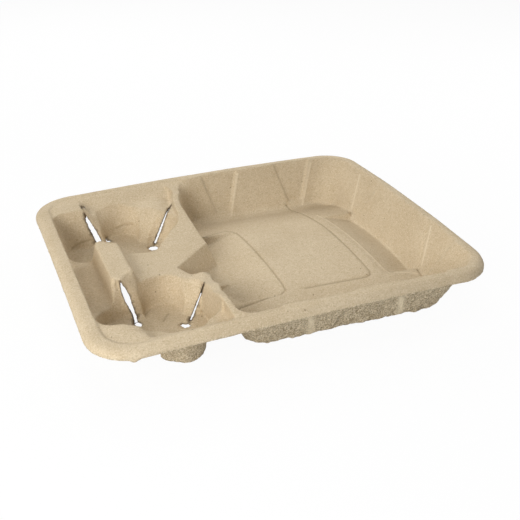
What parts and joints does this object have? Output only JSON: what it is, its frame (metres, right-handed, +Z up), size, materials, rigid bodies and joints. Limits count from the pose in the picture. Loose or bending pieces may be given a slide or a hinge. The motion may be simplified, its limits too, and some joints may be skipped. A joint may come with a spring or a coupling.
{
  "type": "moulded pulp cup carrier tray",
  "caption": "Shallow moulded-fibre carry tray with slit cup cells and a pocketed end on one side and a fluted food well on the other, under one rolled rim.",
  "frame": {"origin": "on the table under the middle of the rim", "axes": "+X from the cup end to the food end, +Y to the back of the tray, +Z up"},
  "size_m": [0.31, 0.262, 0.0468],
  "materials": {
    "moulded_pulp": "matt unbleached moulded paper pulp, finely speckled above and coarse below"
  },
  "bodies": {
    "root": {"carrier_tray": "moulded_pulp"}
  },
  "joints": []
}
